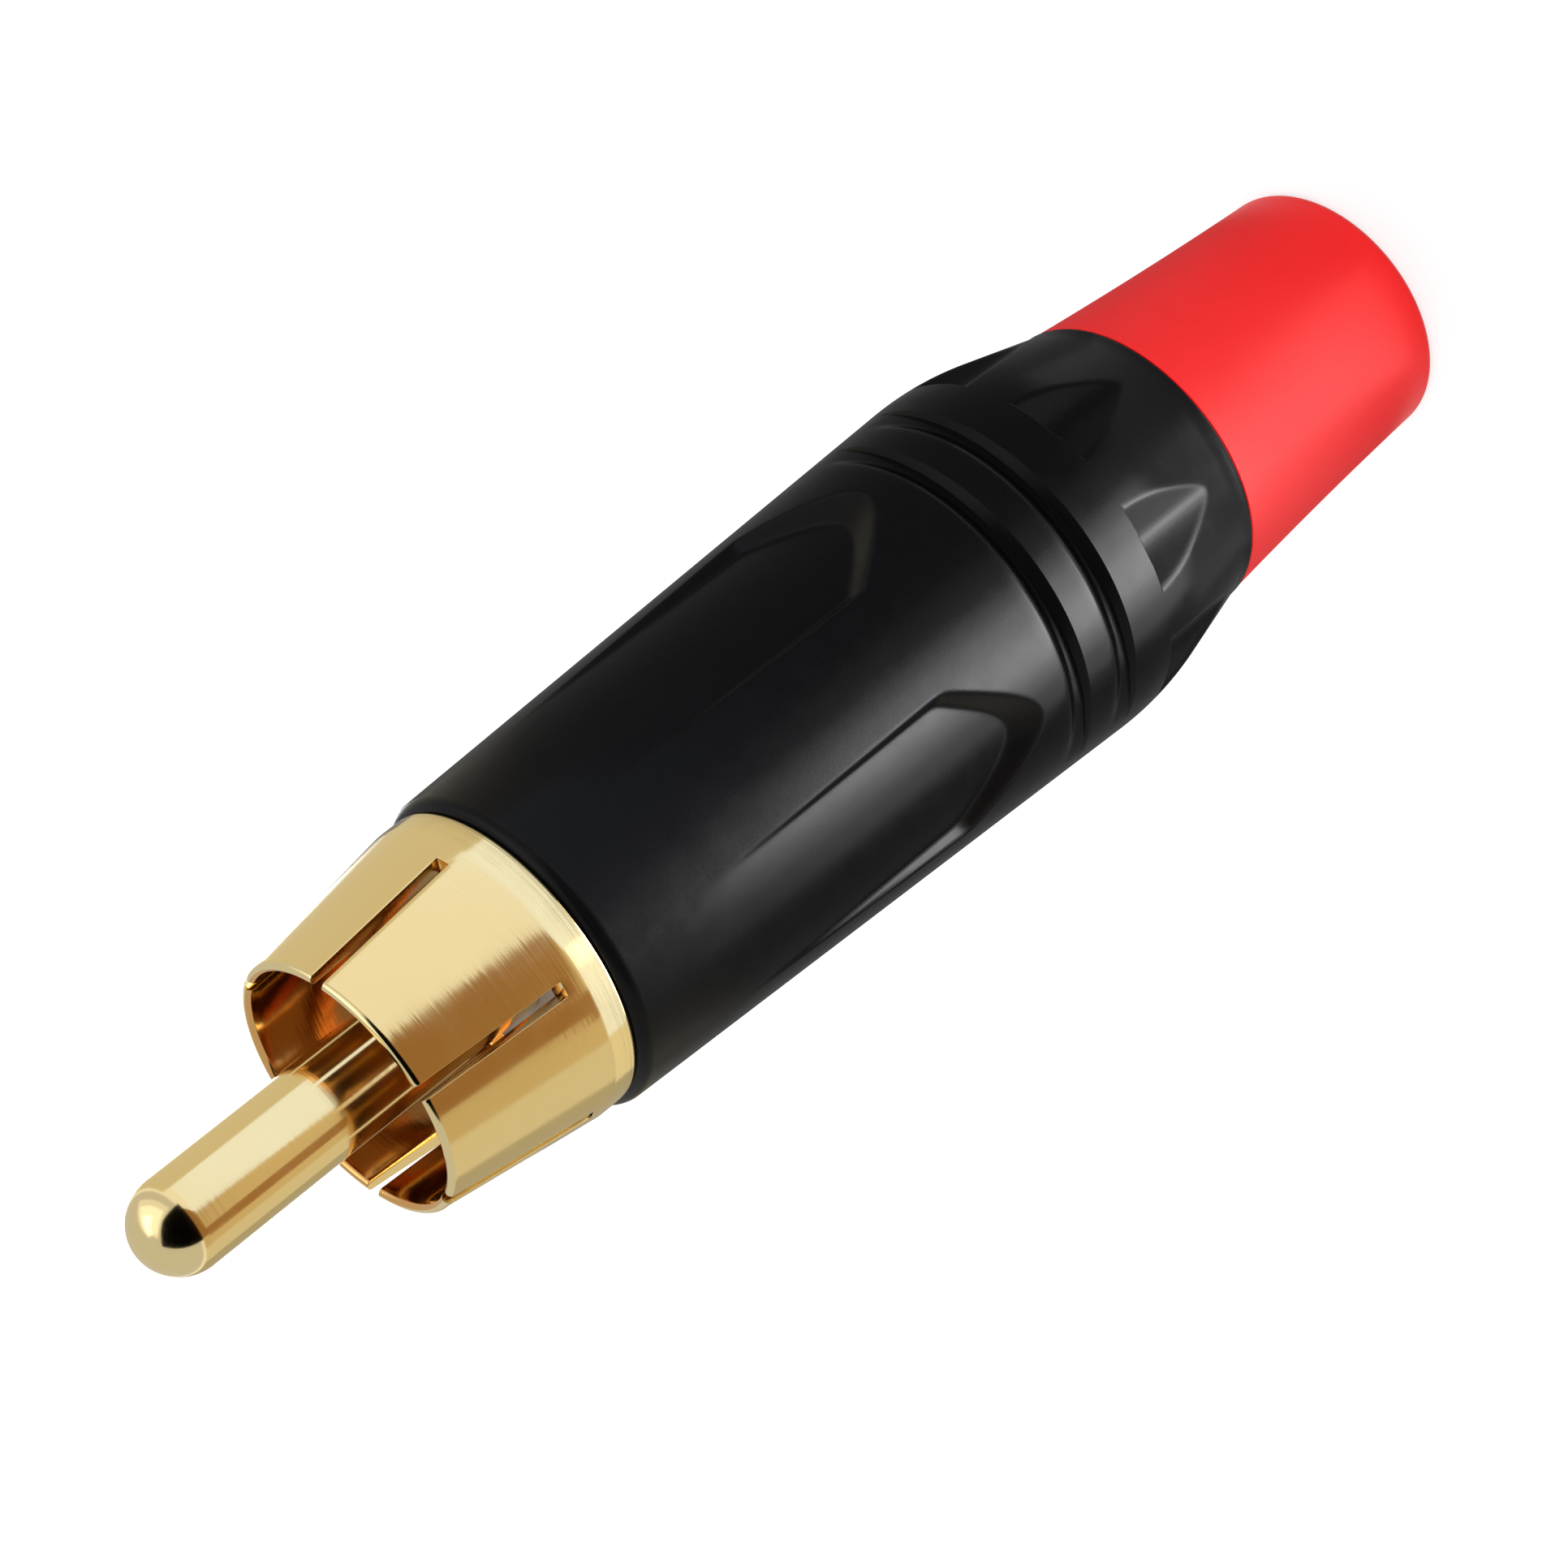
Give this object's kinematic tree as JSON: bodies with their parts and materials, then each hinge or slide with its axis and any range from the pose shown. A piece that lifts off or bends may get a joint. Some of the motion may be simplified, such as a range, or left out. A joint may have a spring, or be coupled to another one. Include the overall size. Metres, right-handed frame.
{
  "type": "phono plug",
  "caption": "Cable phono plug with a gold centre pin in a slotted earth sleeve, a black die-cast screw shell with finger flats and grooves, and a red flared cable boot.",
  "frame": {"origin": "centre of the boot's flat end face, on the plug's axis", "axes": "+Z along the plug's axis from the boot to the pin's tip, -Y towards the middle of one side of the shell's grooves"},
  "size_m": [0.013, 0.013, 0.0547],
  "materials": {
    "gold_pin": "polished gold plate",
    "gold_sleeve": "gold plate over fine turning marks",
    "white_plastic": "turned fluoroplastic",
    "black_plastic": "moulded",
    "black_paint": "gloss black over zinc die casting",
    "red_plastic": "satin"
  },
  "bodies": {
    "boot": {"boot": "red_plastic"},
    "shell": {"shell": "black_paint"},
    "contact": {"ground_sleeve": "gold_sleeve", "centre_pin": "gold_pin", "pin_insulator": "white_plastic", "ground_tag": "gold_sleeve", "cable_chuck": "black_plastic"}
  },
  "joints": [
    {"name": "shell_turn", "type": "hinge", "parent": "boot", "child": "shell", "pos_m": [0, 0, 0.0107], "axis": [0, 0, -1], "range_deg": [0, 2160]},
    {"name": "contact_out", "type": "slide", "parent": "boot", "child": "contact", "axis": [0, 0, 1], "range_m": [0, 0.00451]}
  ],
  "couplings": [
    {"joint": "contact_out", "follows": "shell_turn", "m_per_rad": 0.00011937}
  ]
}
